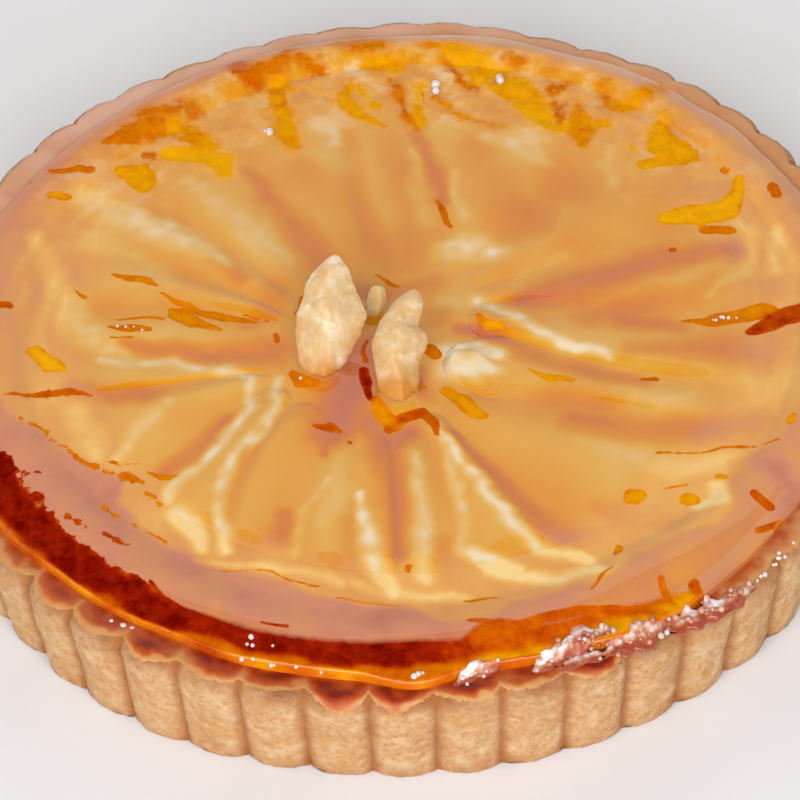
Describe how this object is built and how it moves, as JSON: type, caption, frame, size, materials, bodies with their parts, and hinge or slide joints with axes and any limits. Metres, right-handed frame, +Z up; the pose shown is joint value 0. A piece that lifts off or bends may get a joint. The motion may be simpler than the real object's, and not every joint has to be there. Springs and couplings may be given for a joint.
{
  "type": "pear tart",
  "caption": "Round glazed pear tart in a fluted shortcrust shell, with fanned pear slices in an almond filling.",
  "frame": {"origin": "middle of the flat underside, which stands on the plate", "axes": "+Z up out of the tart, -Y towards the side seen nearest, +X to its right"},
  "size_m": [0.2584, 0.2592, 0.0549],
  "materials": {
    "shortcrust": "matt baked pastry, pale gold, browner in the grooves and dark along the rim",
    "browned_filling": "baked almond filling, amber to dark red-brown, under clear glaze",
    "glazed_pear": "cooked pear, pale amber, under clear glaze",
    "bare_pear": "cooked pear standing out of the glaze, cream coloured, damp",
    "glaze": "set fruit glaze, clear amber, mirror smooth"
  },
  "bodies": {
    "root": {"pastry_shell": "shortcrust", "filling": "browned_filling", "pear_slice_01": "glazed_pear", "pear_slice_02": "glazed_pear", "pear_slice_03": "glazed_pear", "pear_slice_04": "glazed_pear", "pear_slice_05": "glazed_pear", "pear_slice_06": "glazed_pear", "pear_slice_07": "glazed_pear", "pear_slice_08": "glazed_pear", "pear_slice_09": "glazed_pear", "pear_slice_10": "glazed_pear", "pear_slice_11": "glazed_pear", "pear_slice_12": "glazed_pear", "pear_slice_13": "glazed_pear", "pear_slice_14": "glazed_pear", "pear_slice_15": "glazed_pear", "pear_slice_16": "glazed_pear", "pear_slice_17": "glazed_pear", "pear_slice_18": "glazed_pear", "pear_slice_19": "glazed_pear", "pear_slice_20": "glazed_pear", "pear_wedge_left": "bare_pear", "pear_wedge_right": "bare_pear", "pear_nub": "bare_pear"}
  },
  "joints": []
}
